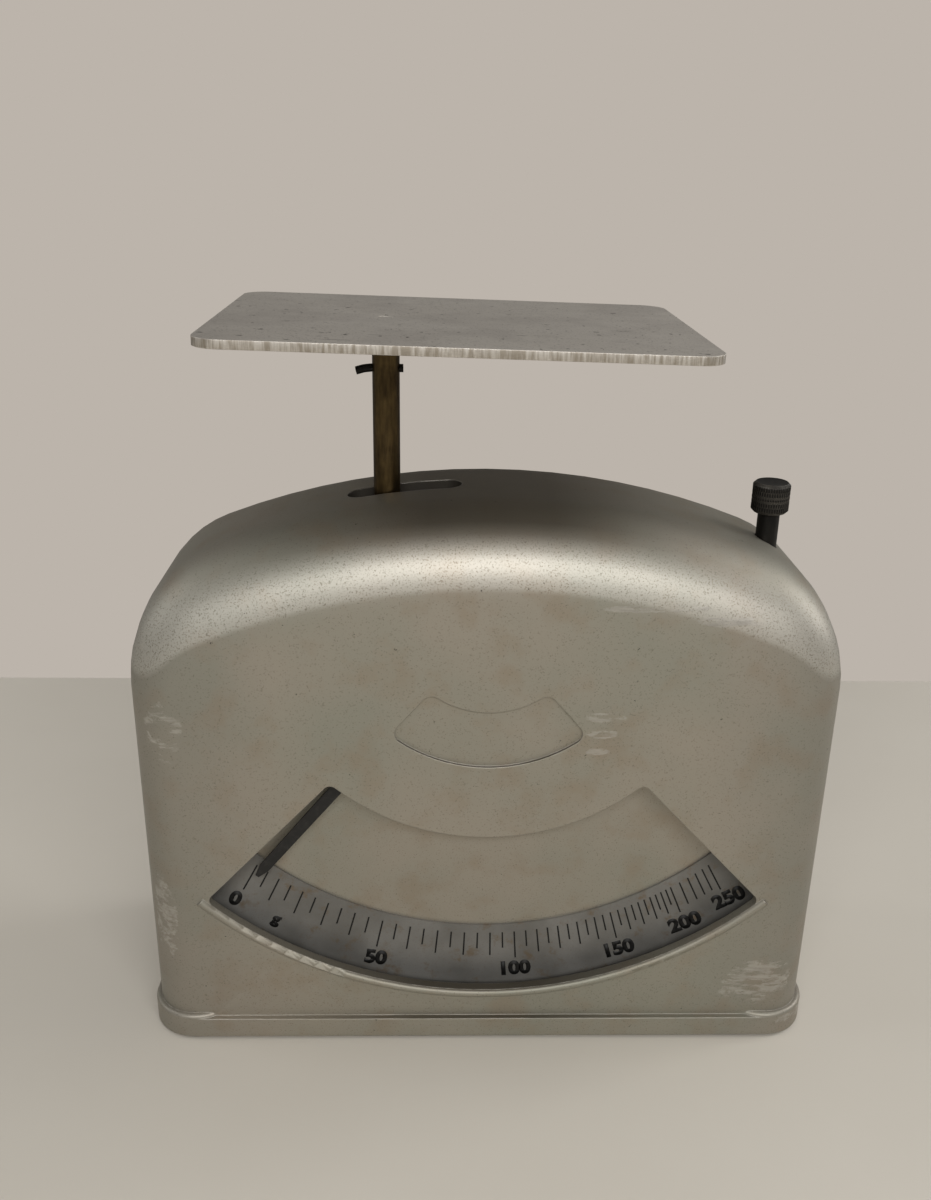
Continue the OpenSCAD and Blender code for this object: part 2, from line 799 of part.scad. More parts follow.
module counterweight() {
    centre = around(weight_reach, weight_lead);
    rim = weight_r - weight_chamfer;
    color("darkgoldenrod") difference() {
        translate([centre[0], -weight_l / 2, centre[1]]) rotate([-90, 0, 0]) rotate_extrude($fn = 72)
            polygon([[0, 0], [rim, 0], [weight_r, weight_chamfer],
                [weight_r, weight_l - weight_chamfer], [rim, weight_l], [0, weight_l]]);
        along_rod(rod_start) cylinder(h = rod_end - rod_start, d = weight_rod_d);
    }
}

module weight_lock_nut() {
    color("gray") along_rod(weight_reach - weight_r - lock_nut_h) difference() {
        cylinder(h = lock_nut_h, d = lock_nut_d, $fn = 6);
        translate([0, 0, -cut]) cylinder(h = lock_nut_h + 2 * cut, d = weight_rod_d);
    }
}

module needle_hub() {
    color([0.1, 0.1, 0.1]) difference() {
        union() {
            pin_y(frame_pivot, needle_hub_d, needle_rear_y, needle_rear_y + needle_hub_l);
            pin_y(frame_pivot, needle_collar_d, needle_rear_y - needle_t, needle_rear_y);
        }
        pin_y(frame_pivot, arbor_d, needle_rear_y - needle_t - cut, needle_rear_y + needle_hub_l + cut);
    }
}

module needle() {
    shoulder = needle_chisel - needle_reach;
    color([0.1, 0.1, 0.1]) upright(needle_rear_y - needle_t, needle_t)
        translate(frame_pivot) difference() {
            rotate(-needle_rest) union() {
                circle(r = needle_eye_r);
                polygon([[-needle_root_w / 2, 0], [-needle_tip_w / 2, shoulder],
                    [-needle_point_w / 2, -needle_reach], [needle_point_w / 2, -needle_reach],
                    [needle_tip_w / 2, shoulder], [needle_root_w / 2, 0]]);
            }
            circle(d = needle_collar_d);
        }
}

module stay_outline() {
    difference() {
        strap(frame_stay, stay_end, lever_w);
        translate(stay_end) circle(d = link_pin_d + 2 * run_gap);
    }
}

module stay_link() {
    color("silver") difference() {
        union() {
            pin_y(frame_stay, 2 * sleeve_r, side_gap - cheek_in, cheek_in - side_gap);
            upright(-lever_out, lever_t) stay_outline();
            upright(lever_in, lever_t) stay_outline();
        }
        pin_y(frame_stay, arbor_d + 2 * run_gap, -cheek_in, cheek_in);
    }
}

module column() {
    color([0.42, 0.35, 0.22]) difference() {
        translate([column_x, 0, column_low_z])
            cylinder(h = column_top_z - column_low_z, d = column_d);
        translate([column_x, 0, column_low_z - cut])
            cylinder(h = column_top_z - column_low_z + 2 * cut, d = column_bore);
        pin_y([column_x, arm_z], link_pin_d + 2 * run_gap, -column_d, column_d);
        pin_y(stay_end, link_pin_d, -column_d, column_d);
        translate([column_x - column_d, 0, cross_pin_z]) rotate([0, 90, 0])
            cylinder(h = 2 * column_d, d = cross_pin_d);
    }
}

module lower_link_pin() {
    color("gray") {
        pin_y(stay_end, link_pin_d, -lever_out, lever_out);
        for (s = [0, 1]) mirror([0, s, 0])
            pin_y(stay_end, 2 * link_pin_d, -lever_out - pin_head, -lever_out);
    }
}

// The sheet leans about the top of the column, and its hole stays plumb for the tenon
module platform() {
    color([0.66, 0.65, 0.63]) difference() {
        translate([column_x, 0, column_top_z + platform_lift]) rotate([0, platform_lean, 0])
            translate([platform_offset, 0, 0]) linear_extrude(platform_t)
                rounded_plan(platform_w, platform_d, platform_corner_r);
        translate([column_x, 0, column_top_z - cut])
            cylinder(h = platform_t + 2 * cut, d = stud_tenon_d);
    }
}

module platform_stud() {
    color([0.6, 0.6, 0.58]) difference() {
        union() {
            translate([column_x, 0, column_top_z - stud_l]) cylinder(h = stud_l, d = stud_d);
            translate([column_x, 0, column_top_z])
                cylinder(h = platform_t + platform_lift - 0.05, d = stud_tenon_d);
        }
        translate([column_x - column_d, 0, cross_pin_z]) rotate([0, 90, 0])
            cylinder(h = 2 * column_d, d = cross_pin_d);
    }
}

module cross_pin() {
    color([0.1, 0.1, 0.1]) translate([column_x - column_d / 2 - cross_pin_left, 0, cross_pin_z])
        rotate([0, 90, 0]) cylinder(h = column_d + cross_pin_left + cross_pin_right, d = cross_pin_d);
}

module thumb_screw() {
    low = 0.6;
    top = 0.3;
    end = 0.3;
    head_r = head_d / 2;
    head_low = head_z - head_h;
    shank_r = shank_d / 2;
    journal_r = journal_d / 2;
    stem_r = stem_d / 2;
    color([0.12, 0.12, 0.12]) translate([screw_x, 0, 0]) rotate_extrude()
        polygon([[0, shank_end_z], [shank_r - end, shank_end_z], [shank_r, shank_end_z + end],
            [shank_r, collar_top_z - collar_l], [journal_r, collar_top_z - collar_l],
            [journal_r, bush_top_z], [stem_r, bush_top_z], [stem_r, head_low],
            [head_r - low, head_low], [head_r, head_low + low],
            [head_r, head_z - top], [head_r - top, head_z], [0, head_z]]);
}

module retaining_collar() {
    color("gray") translate([screw_x, 0, collar_top_z - collar_l]) difference() {
        cylinder(h = collar_l, d = collar_d);
        translate([0, 0, -cut]) cylinder(h = collar_l + 2 * cut, d = journal_d);
    }
}

module traveller_nut() {
    color("darkgoldenrod") difference() {
        union() {
            translate([screw_x, 0, nut_z]) cube([nut_w, 2 * nut_half_y, nut_h], center = true);
            pin_y(frame_nut, trunnion_d, -cheek_out, cheek_out);
        }
        translate([screw_x, 0, nut_z - nut_h]) cylinder(h = 2 * nut_h, d = shank_d + 2 * run_gap);
    }
}

casing();
base_plate();
base_screws();
rubber_feet();
dial_back_plate();
dial_strip();
dial_rivets();
dial_screws();
rocker_bracket();
bracket_screws();
rocker_pin();
screw_bush();
front_cheek();
rear_cheek();
cheek_posts();
cheek_screws();
arbor_bushes();
stay_pin();
stop_pins();
arbor();
lever();
upper_link_pin();
weight_rod();
counterweight();
weight_lock_nut();
needle_hub();
needle();
stay_link();
column();
lower_link_pin();
platform();
platform_stud();
cross_pin();
thumb_screw();
retaining_collar();
traveller_nut();
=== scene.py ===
# Looks of the pendulum letter balance: paint, bare metal, printed dial, camera and light
import json
import math

import bpy
from mathutils import Matrix, Vector

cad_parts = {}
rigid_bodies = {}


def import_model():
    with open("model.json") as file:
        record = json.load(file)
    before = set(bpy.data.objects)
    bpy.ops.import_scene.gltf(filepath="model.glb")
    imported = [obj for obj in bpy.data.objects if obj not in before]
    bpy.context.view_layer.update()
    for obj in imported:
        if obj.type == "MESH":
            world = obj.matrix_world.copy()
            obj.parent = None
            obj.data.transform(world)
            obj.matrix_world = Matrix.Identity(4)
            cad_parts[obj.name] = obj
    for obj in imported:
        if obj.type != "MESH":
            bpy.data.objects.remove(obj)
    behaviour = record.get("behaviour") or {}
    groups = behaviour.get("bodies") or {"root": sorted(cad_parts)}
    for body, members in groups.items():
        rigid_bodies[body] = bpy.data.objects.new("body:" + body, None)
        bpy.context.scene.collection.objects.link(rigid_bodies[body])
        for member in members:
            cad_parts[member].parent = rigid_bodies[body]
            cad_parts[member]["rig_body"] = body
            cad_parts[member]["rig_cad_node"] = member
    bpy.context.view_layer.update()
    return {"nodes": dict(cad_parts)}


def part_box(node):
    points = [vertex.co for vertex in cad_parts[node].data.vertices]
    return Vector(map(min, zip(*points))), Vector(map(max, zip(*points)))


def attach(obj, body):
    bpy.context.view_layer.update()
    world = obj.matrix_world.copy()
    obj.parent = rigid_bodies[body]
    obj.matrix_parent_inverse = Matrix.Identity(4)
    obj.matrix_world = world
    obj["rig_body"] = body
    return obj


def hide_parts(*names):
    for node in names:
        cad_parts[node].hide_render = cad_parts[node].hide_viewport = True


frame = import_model()
nodes = frame["nodes"]
mm = 0.001

# Places taken from the solids, in metres
screwLow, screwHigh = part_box("thumb_screw")
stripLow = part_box("dial_strip")[0]
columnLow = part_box("column")[0]
crossLow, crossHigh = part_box("cross_pin")
arborLow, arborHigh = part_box("arbor")
pivot = Vector((0, 0, (arborLow.z + arborHigh.z) / 2))
screwX = (screwLow.x + screwHigh.x) / 2


def linearColour(hexColour, alpha=1.0):
    # Shader colours are linear, and the hex values were read off the object in sRGB
    parts = [int(hexColour[i:i + 2], 16) / 255 for i in (1, 3, 5)]
    return [c / 12.92 if c <= 0.04045 else ((c + 0.055) / 1.055) ** 2.4 for c in parts] + [alpha]


def addNode(tree, kind, inputs=None, **properties):
    # Inputs are given by name or number, each as a plain value or as the socket to link
    node = tree.nodes.new("ShaderNode" + kind)
    for name, value in properties.items():
        setattr(node, name, value)
    for name, value in (inputs or {}).items():
        if isinstance(value, bpy.types.NodeSocket):
            tree.links.new(value, node.inputs[name])
        else:
            node.inputs[name].default_value = value
    return node


def newMaterial(name):
    material = bpy.data.materials.new(name)
    material.use_nodes = True
    tree = material.node_tree
    tree.nodes.clear()
    shader = addNode(tree, "BsdfPrincipled")
    addNode(tree, "OutputMaterial", {"Surface": shader.outputs[0]})
    return material, tree, shader


def noiseField(tree, size, detail=3.0, stretch=(1, 1, 1), rough=0.55):
    # Noise with features about size metres across, stretched along an axis by less than 1
    place = addNode(tree, "TexCoord").outputs["Object"]
    scaled = addNode(tree, "Mapping", {"Vector": place, "Scale": stretch}).outputs[0]
    return addNode(tree, "TexNoise", {"Vector": scaled, "Scale": 1 / size, "Detail": detail,
                                      "Roughness": rough}).outputs["Fac"]


def levels(tree, value, low, high, start=0.0, end=1.0):
    return addNode(tree, "MapRange", {"Value": value, "From Min": low, "From Max": high,
                                      "To Min": start, "To Max": end}).outputs[0]


def mixColour(tree, share, first, second, blend="MIX"):
    return addNode(tree, "Mix", {0: share, 6: first, 7: second}, data_type="RGBA",
                   blend_type=blend).outputs[2]


def combine(tree, operation, first, second):
    return addNode(tree, "Math", {0: first, 1: second}, operation=operation,
                   use_clamp=True).outputs[0]


def softEdges(tree, radius):
    return addNode(tree, "Bevel", {"Radius": radius}, samples=6).outputs[0]


def edgeMask(tree, width):
    # 1 on edges, where the softened normal turns away from the surface's own
    soft = softEdges(tree, width)
    plain = addNode(tree, "NewGeometry").outputs["Normal"]
    turned = addNode(tree, "VectorMath", {0: soft, 1: plain}, operation="DOT_PRODUCT").outputs["Value"]
    return levels(tree, turned, 0.995, 0.86)


def spotMask(tree, spots, ragged, grain):
    # 1 inside any of the ellipsoids (centre, radii), with an edge broken up by noise
    place = addNode(tree, "TexCoord").outputs["Object"]
    noise = noiseField(tree, grain, 5, rough=0.7)
    total = 0.0
    for centre, radii in spots:
        away = addNode(tree, "VectorMath", {0: place, 1: centre}, operation="SUBTRACT").outputs[0]
        unit = addNode(tree, "VectorMath", {0: away, 1: [1 / r for r in radii]},
                       operation="MULTIPLY").outputs[0]
        reach = addNode(tree, "VectorMath", {0: unit}, operation="LENGTH").outputs["Value"]
        broken = addNode(tree, "Math", {0: noise, 1: ragged, 2: reach}, operation="MULTIPLY_ADD").outputs[0]
        inside = levels(tree, broken, 1.0 + ragged * 0.52, 0.86 + ragged * 0.48)
        total = combine(tree, "MAXIMUM", total, inside)
    return total


def bumpFrom(tree, height, depth, strength=1.0, normal=None):
    inputs = {"Height": height, "Distance": depth, "Strength": strength}
    if normal is not None:
        inputs["Normal"] = normal
    return addNode(tree, "Bump", inputs).outputs[0]


def distanceFromMiddle(tree, coordinate):
    return addNode(tree, "Math", {0: coordinate}, operation="ABSOLUTE").outputs[0]


def facingUp(tree):
    # The height part of the normal: 1 on top faces, 0 on walls
    return addNode(tree, "SeparateXYZ", {0: addNode(tree, "NewGeometry").outputs["Normal"]}).outputs[2]


paintLook = {
    "paint": "#A69F92", "cool": "#9C9A8D", "warm": "#9C8E7B", "dullMetalAndSideShade": "#87817B",
    "bare": "#DAD6CD", "chipAndSlotShade": "#332E28", "grime": "#655C4E", "crownDarkReflection": "#575147",
    "slotHalf": 3.6 * mm, "sideStart": 62 * mm,
    # Places rubbed to bare metal on the front, in mm: centre, then half sizes
    "worn": [((22.5, -25, 77), (3.6, 2, 1.1)), ((22, -25, 73.4), (3.2, 2, 0.9)),
             ((21.5, -25, 69.5), (2.4, 2, 0.8)),
             ((-63, -24, 73), (3.6, 4, 6.5)), ((59, -25, 14), (8, 2, 5.5)), ((69, -24, 4), (5, 6, 1.6)),
             ((30, -25, 99.6), (11, 3, 0.7)), ((46, -25, 97), (9, 3, 0.9)), ((-66, -24, 30), (3, 4, 9))],
}


def agedSilverPaint(look):
    # Old silver paint: satin with a fine flake, cloudy tone, dark chips, bare metal where hands rub; painted
    # shade towards the ends, in the slot and on the crown, and a painted highlight on the shoulder
    material, tree, shader = newMaterial("agedSilverPaint")
    clouds = noiseField(tree, 38 * mm, 3)
    blotches = noiseField(tree, 9 * mm, 5)
    flake = noiseField(tree, 0.32 * mm, 2)
    colour = mixColour(tree, levels(tree, clouds, 0.38, 0.62), linearColour(look["paint"]),
                       linearColour(look["cool"]))
    colour = mixColour(tree, levels(tree, blotches, 0.5, 0.68, 0, 0.5), colour, linearColour(look["warm"]))
    place = addNode(tree, "SeparateXYZ", {0: addNode(tree, "TexCoord").outputs["Object"]})
    side = distanceFromMiddle(tree, place.outputs[0])
    # Painted shade: the paint is darkened towards the left and right ends, where the sides turn from the
    # light
    colour = mixColour(tree, levels(tree, side, 40 * mm, 68 * mm, 0, 0.35), colour,
                       linearColour(look["dullMetalAndSideShade"]))
    speckle = levels(tree, flake, 0.60, 0.70)
    colour = mixColour(tree, combine(tree, "MULTIPLY", speckle, 0.45), colour, linearColour(look["grime"]))
    # Painted light: the crown's middle is painted dark as a painted reflection of the dim room above it, and
    # the rounded shoulder below it is painted bright as a painted highlight
    upright = facingUp(tree)
    crown = combine(tree, "MULTIPLY", levels(tree, upright, 0.5, 0.85),
                    levels(tree, side, look["sideStart"], 12 * mm))
    # Painted reflection: upward faces in the middle of the crown take the dark colour
    colour = mixColour(tree, combine(tree, "MULTIPLY", crown, 0.92), colour, linearColour(look["crownDarkReflection"]))
    # Painted highlight: the shoulder's fillet is lightened towards the bare-metal colour, broken up by the
    # flake
    shoulder = combine(tree, "MULTIPLY", levels(tree, upright, 0.14, 0.2), levels(tree, upright, 0.75, 0.5))
    shoulder = combine(tree, "MULTIPLY", shoulder, levels(tree, place.outputs[2], 60 * mm, 80 * mm))
    paintedShoulderHighlight = combine(tree, "MULTIPLY", shoulder, levels(tree, flake, 0.66, 0.5, 0.05, 0.4))
    colour = mixColour(tree, paintedShoulderHighlight, colour, linearColour(look["bare"]))
    # Painted shade: the walls of the slot and of the screw's hole are painted dark, where shade falls inside
    # them
    across = distanceFromMiddle(tree, place.outputs[1])
    middle = levels(tree, across, look["slotHalf"] + 0.8 * mm, look["slotHalf"])
    paintedSlotShade = combine(tree, "MULTIPLY", middle, levels(tree, upright, 0.75, 0.5))
    paintedSlotShade = combine(tree, "MULTIPLY", paintedSlotShade, levels(tree, side, look["sideStart"] + 2 * mm, look["sideStart"]))
    colour = mixColour(tree, combine(tree, "MULTIPLY", paintedSlotShade, 0.9), colour, linearColour(look["chipAndSlotShade"]))
    chips = levels(tree, noiseField(tree, 1.7 * mm, 6, rough=0.75), 0.675, 0.69)
    # Real paint chips, in the same dark colour
    colour = mixColour(tree, chips, colour, linearColour(look["chipAndSlotShade"]))
    edges = combine(tree, "MULTIPLY", edgeMask(tree, 0.5 * mm), levels(tree, blotches, 0.38, 0.58, 0, 0.7))
    worn = [([v * mm for v in centre], [v * mm for v in radii]) for centre, radii in look["worn"]]
    streaks = levels(tree, noiseField(tree, 2.2 * mm, 6, stretch=(0.3, 1, 1), rough=0.7), 0.46, 0.53)
    spots = combine(tree, "MULTIPLY", spotMask(tree, worn, 1.6, 3.2 * mm), streaks)
    bare = combine(tree, "MAXIMUM", edges, spots)
    brushed = noiseField(tree, 0.5 * mm, 3, stretch=(0.12, 1, 1))
    bareColour = mixColour(tree, brushed, linearColour(look["bare"]), linearColour(look["dullMetalAndSideShade"]))
    colour = mixColour(tree, combine(tree, "MULTIPLY", bare, 0.6), colour, bareColour)
    tree.links.new(colour, shader.inputs["Base Color"])
    shader.inputs["Metallic"].default_value = 0.72
    rough = levels(tree, clouds, 0.3, 0.7, 0.47, 0.54)
    rough = combine(tree, "SUBTRACT", rough, combine(tree, "MULTIPLY", bare, 0.08))
    tree.links.new(rough, shader.inputs["Roughness"])
    grain = combine(tree, "ADD", flake, combine(tree, "MULTIPLY", brushed, bare))
    grain = combine(tree, "MULTIPLY", grain, 0.5)
    height = combine(tree, "SUBTRACT", grain, combine(tree, "MULTIPLY", chips, 0.5))
    normal = bumpFrom(tree, height, 0.05 * mm, 0.5, softEdges(tree, 0.35 * mm))
    tree.links.new(normal, shader.inputs["Normal"])
    return material


sheetLook = {"metal": "#CBC5BC", "shade": "#B6B0A8", "pit": "#3A3631", "edge": "#A2998C", "bright": "#DAD5CC"}


def filedAluminium(look):
    # Bare sheet gone grey: fine speckle, dark pits, long scratches, a brown filed rim and a bright arris
    material, tree, shader = newMaterial("filedAluminium")
    speckle = noiseField(tree, 0.45 * mm, 4)
    clouds = noiseField(tree, 14 * mm, 4)
    colour = mixColour(tree, levels(tree, clouds, 0.4, 0.62), linearColour(look["metal"]),
                       linearColour(look["shade"]))
    colour = mixColour(tree, levels(tree, speckle, 0.56, 0.72, 0, 0.55), colour, linearColour(look["pit"]))
    pits = levels(tree, noiseField(tree, 1.5 * mm, 3, rough=0.4), 0.70, 0.715)
    marks = levels(tree, noiseField(tree, 2.6 * mm, 2, stretch=(0.16, 1.6, 1)), 0.735, 0.75)
    dark = combine(tree, "MAXIMUM", pits, marks)
    colour = mixColour(tree, combine(tree, "MULTIPLY", dark, 0.8), colour, linearColour(look["pit"]))
    rim = levels(tree, distanceFromMiddle(tree, facingUp(tree)), 0.6, 0.3)
    strokes = noiseField(tree, 0.55 * mm, 4, stretch=(1, 1, 0.12))
    rimColour = mixColour(tree, levels(tree, strokes, 0.4, 0.62), linearColour(look["edge"]),
                          linearColour(look["metal"]))
    colour = mixColour(tree, rim, colour, rimColour)
    gaps = levels(tree, noiseField(tree, 5 * mm, 4), 0.36, 0.5)
    arris = combine(tree, "MULTIPLY", edgeMask(tree, 0.28 * mm), gaps)
    colour = mixColour(tree, arris, colour, linearColour(look["bright"]))
    tree.links.new(colour, shader.inputs["Base Color"])
    shader.inputs["Metallic"].default_value = 0.85
    tree.links.new(levels(tree, clouds, 0.3, 0.7, 0.46, 0.58), shader.inputs["Roughness"])
    height = combine(tree, "ADD", combine(tree, "MULTIPLY", speckle, 0.4),
                     combine(tree, "MULTIPLY", strokes, rim))
    height = combine(tree, "SUBTRACT", height, combine(tree, "MULTIPLY", dark, 0.5))
    normal = bumpFrom(tree, height, 0.06 * mm, 0.5, softEdges(tree, 0.22 * mm))
    tree.links.new(normal, shader.inputs["Normal"])
    return material


def wornMetal(name, base, shade, rough, metallic=1.0, bright=None, grain=(1, 1, 0.15), wear=0.6):
    # Turned or drawn metal: two tones in fine draw lines, and edges rubbed brighter; on the column the
    # lighter tone is its highlight colour, so there the lines are partly painted highlight streaks
    material, tree, shader = newMaterial(name)
    lines = noiseField(tree, 0.6 * mm, 4, stretch=grain)
    clouds = noiseField(tree, 7 * mm, 4)
    tone = combine(tree, "ADD", levels(tree, clouds, 0.35, 0.65, 0, 0.6),
                   levels(tree, lines, 0.35, 0.65, 0, 0.4))
    colour = mixColour(tree, tone, linearColour(base), linearColour(shade))
    edges = combine(tree, "MULTIPLY", edgeMask(tree, 0.2 * mm), levels(tree, clouds, 0.35, 0.55, 0, wear))
    colour = mixColour(tree, edges, colour, linearColour(bright or base))
    tree.links.new(colour, shader.inputs["Base Color"])
    shader.inputs["Metallic"].default_value = metallic
    tree.links.new(levels(tree, tone, 0, 1, rough - 0.06, rough + 0.08), shader.inputs["Roughness"])
    normal = bumpFrom(tree, lines, 0.02 * mm, 0.4, softEdges(tree, 0.12 * mm))
    tree.links.new(normal, shader.inputs["Normal"])
    return material


dialLook = {"plate": "#6C6A65", "pale": "#7E7C77", "stain": "#6B5A44", "ink": "#141312",
            "inkY": stripLow.y + 0.05 * mm, "inkEndY": stripLow.y + 0.3 * mm, "markRadius": 72.6 * mm,
            "blur": 0.01 * mm}


def printedDial(look):
    # Grey lithographed metal with brown age stains; the graduations hold black ink
    material, tree, shader = newMaterial("printedDial")
    clouds = noiseField(tree, 11 * mm, 4)
    colour = mixColour(tree, levels(tree, clouds, 0.35, 0.65), linearColour(look["plate"]),
                       linearColour(look["pale"]))
    stains = levels(tree, noiseField(tree, 4.5 * mm, 6, rough=0.7), 0.56, 0.68, 0, 0.7)
    colour = mixColour(tree, stains, colour, linearColour(look["stain"]))
    dust = levels(tree, noiseField(tree, 0.5 * mm, 3), 0.58, 0.68, 0, 0.35)
    colour = mixColour(tree, dust, colour, linearColour(look["stain"]))
    place = addNode(tree, "TexCoord").outputs["Object"]
    depth = addNode(tree, "SeparateXYZ", {0: place}).outputs[1]
    deep = levels(tree, depth, look["inkY"] - look["blur"], look["inkY"])
    notBack = levels(tree, depth, look["inkEndY"] + look["blur"], look["inkEndY"])
    flat = addNode(tree, "VectorMath", {0: place, 1: (1, 0, 1)}, operation="MULTIPLY").outputs[0]
    reach = addNode(tree, "VectorMath", {0: flat, 1: tuple(pivot)}, operation="DISTANCE").outputs["Value"]
    onMarks = levels(tree, reach, look["markRadius"], look["markRadius"] + 0.1 * mm)
    ink = combine(tree, "MULTIPLY", combine(tree, "MULTIPLY", deep, notBack), onMarks)
    colour = mixColour(tree, ink, colour, linearColour(look["ink"]))
    tree.links.new(colour, shader.inputs["Base Color"])
    shader.inputs["Metallic"].default_value = 0.25
    tree.links.new(levels(tree, clouds, 0.3, 0.7, 0.42, 0.55), shader.inputs["Roughness"])
    return material


def mattCoat(name, base, worn, rough, wear=0.5):
    # Black paint, ink or rubber: dead matt, a little greyer where it is rubbed or dusty
    material, tree, shader = newMaterial(name)
    dust = noiseField(tree, 1.2 * mm, 5, rough=0.7)
    colour = mixColour(tree, levels(tree, dust, 0.5, 0.75, 0, 0.5), linearColour(base), linearColour(worn))
    edges = combine(tree, "MULTIPLY", edgeMask(tree, 0.15 * mm), levels(tree, dust, 0.4, 0.6, 0, wear))
    colour = mixColour(tree, edges, colour, linearColour(worn))
    tree.links.new(colour, shader.inputs["Base Color"])
    tree.links.new(levels(tree, dust, 0.3, 0.7, rough - 0.05, rough + 0.1), shader.inputs["Roughness"])
    tree.links.new(bumpFrom(tree, dust, 0.02 * mm, 0.3), shader.inputs["Normal"])
    return material


silverPaint = agedSilverPaint(paintLook)
bareSheet = filedAluminium(sheetLook)
# The column's base is the colour of its vertical highlight and its shade is the dark bronze: painted
# highlight streaks along its length, mixed with draw lines
agedBrassTubeWithHighlightStreaks = wornMetal("agedBrassTubeWithHighlightStreaks", "#6B5A3C", "#3A3022", 0.34, bright="#7C6744")
turnedBrass = wornMetal("turnedBrass", "#B4924E", "#8E7038", 0.32, bright="#D8BC7C", grain=(1, 0.15, 1))
turnedSteel = wornMetal("turnedSteel", "#A5A29B", "#7C7973", 0.34, bright="#D2CFC8", grain=(1, 0.2, 1))
platedSheet = wornMetal("platedSheetSteel", "#9FA1A0", "#828482", 0.4, bright="#CDCDC9", grain=(1, 1, 0.3))
castAluminium = wornMetal("castAluminium", "#A9A8A4", "#8B8A86", 0.48, bright="#D5D4D0", grain=(1, 1, 1))
primedSteel = wornMetal("primedSheetSteel", "#3A3B3A", "#2A2A29", 0.55, metallic=0.2, bright="#8A8782")
blackenedSteel = wornMetal("blackenedSteel", "#24221F", "#121110", 0.42, metallic=0.7, bright="#77726A",
                           wear=0.8)
needlePaint = mattCoat("needleBlackPaint", "#0D0C0B", "#3A3733", 0.5)
dialInk = mattCoat("dialInk", "#12110F", "#2E2B27", 0.6, 0.0)
footRubber = mattCoat("footRubber", "#191817", "#3B3935", 0.75)
dialPrint = printedDial(dialLook)
print("materials made")

finishes = {
    silverPaint: ["casing", "dial_back_plate"],
    bareSheet: ["platform", "platform_stud"],
    agedBrassTubeWithHighlightStreaks: ["column"],
    turnedBrass: ["counterweight", "screw_bush", "arbor_bushes", "traveller_nut"],
    platedSheet: ["front_cheek", "rear_cheek"],
    castAluminium: ["lever", "stay_link"],
    primedSteel: ["base_plate", "rocker_bracket"],
    blackenedSteel: ["thumb_screw", "cross_pin"],
    needlePaint: ["needle", "needle_hub"],
    footRubber: ["rubber_feet"],
    dialPrint: ["dial_strip"],
}
finishOf = {name: material for material, names in finishes.items() for name in names}
for name, node in nodes.items():
    node.data.materials.clear()
    node.data.materials.append(finishOf.get(name, turnedSteel))


def onlyActive(piece):
    bpy.ops.object.select_all(action="DESELECT")
    piece.select_set(True)
    bpy.context.view_layer.objects.active = piece


def finishPiece(piece, name, material, body):
    # Place goes into the mesh, then the piece rides with its body
    onlyActive(piece)
    bpy.ops.object.transform_apply(location=True, rotation=True, scale=True)
    bpy.ops.object.mode_set(mode="EDIT")
    bpy.ops.mesh.select_all(action="SELECT")
    bpy.ops.mesh.normals_make_consistent(inside=False)
    bpy.ops.object.mode_set(mode="OBJECT")
    piece.name = name
    piece.data.materials.clear()
    piece.data.materials.append(material)
    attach(piece, body)
    return piece


roundLook = {"joinWithin": 0.002 * mm, "arrisSteps": 3, "arrisAngle": math.radians(50)}


def roundedCopy(node, name, body, angle, edge=0.0):
    # The solid's own surface with its triangles joined, shaded smooth and its arrises broken
    source = nodes[node]
    piece = source.copy()
    piece.data = source.data.copy()
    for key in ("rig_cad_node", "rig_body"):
        if key in piece:
            del piece[key]
    piece.parent = None
    bpy.context.scene.collection.objects.link(piece)
    onlyActive(piece)
    bpy.ops.mesh.customdata_custom_splitnormals_clear()
    bpy.ops.object.mode_set(mode="EDIT")
    bpy.ops.mesh.select_all(action="SELECT")
    bpy.ops.mesh.remove_doubles(threshold=roundLook["joinWithin"])
    bpy.ops.object.mode_set(mode="OBJECT")
    if edge:
        bevel = piece.modifiers.new("arris", "BEVEL")
        bevel.width = edge
        bevel.segments = roundLook["arrisSteps"]
        bevel.limit_method = "ANGLE"
        bevel.angle_limit = roundLook["arrisAngle"]
        bpy.ops.object.modifier_apply(modifier=bevel.name)
    bpy.ops.object.shade_smooth_by_angle(angle=math.radians(angle))
    finishPiece(piece, name, finishOf.get(node, turnedSteel), body)
    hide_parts(node)
    return piece


casingShell = roundedCopy("casing", "casing_shell", "housing", 32)
platformSheet = roundedCopy("platform", "platform_sheet", "carrier", 40, 0.2 * mm)
columnTube = roundedCopy("column", "column_tube", "carrier", 40)
print("shell and sheet rounded")

# Figures stand below their graduations and turn with them: load, degrees right of plumb, lean
figureLook = {"radius": 83.1 * mm, "height": 3.8 * mm, "bold": 0.055, "thick": 0.03 * mm,
              "figures": [("0", -39.0, 24.8), ("50", -16.0, 9.3), ("100", 5.2, -5.1),
                          ("150", 21.1, -17.0), ("200", 31.6, -24.6), ("250", 39.1, -28.8)],
              "unit": ("g", (-44.2, 24.9), 25.0, 3.0 * mm)}


def printedText(words, centre, lean, height):
    # Flat text turned upright, its middle at the centre and its cap height as given
    bpy.ops.object.select_all(action="DESELECT")
    bpy.ops.object.text_add()
    text = bpy.context.object
    text.data.body = words
    text.data.offset = figureLook["bold"]
    bpy.ops.object.convert(target="MESH")
    text = bpy.context.object
    across = [v.co.x for v in text.data.vertices]
    tall = [v.co.y for v in text.data.vertices]
    size = height / (max(tall) - min(tall))
    middle = Matrix.Translation((-(min(across) + max(across)) / 2, -(min(tall) + max(tall)) / 2, 0))
    turn = Matrix.Rotation(math.radians(lean), 4, "Y") @ Matrix.Rotation(math.radians(90), 4, "X")
    text.data.transform(Matrix.Translation(centre) @ turn @ Matrix.Scale(size, 4) @ middle)
    return text


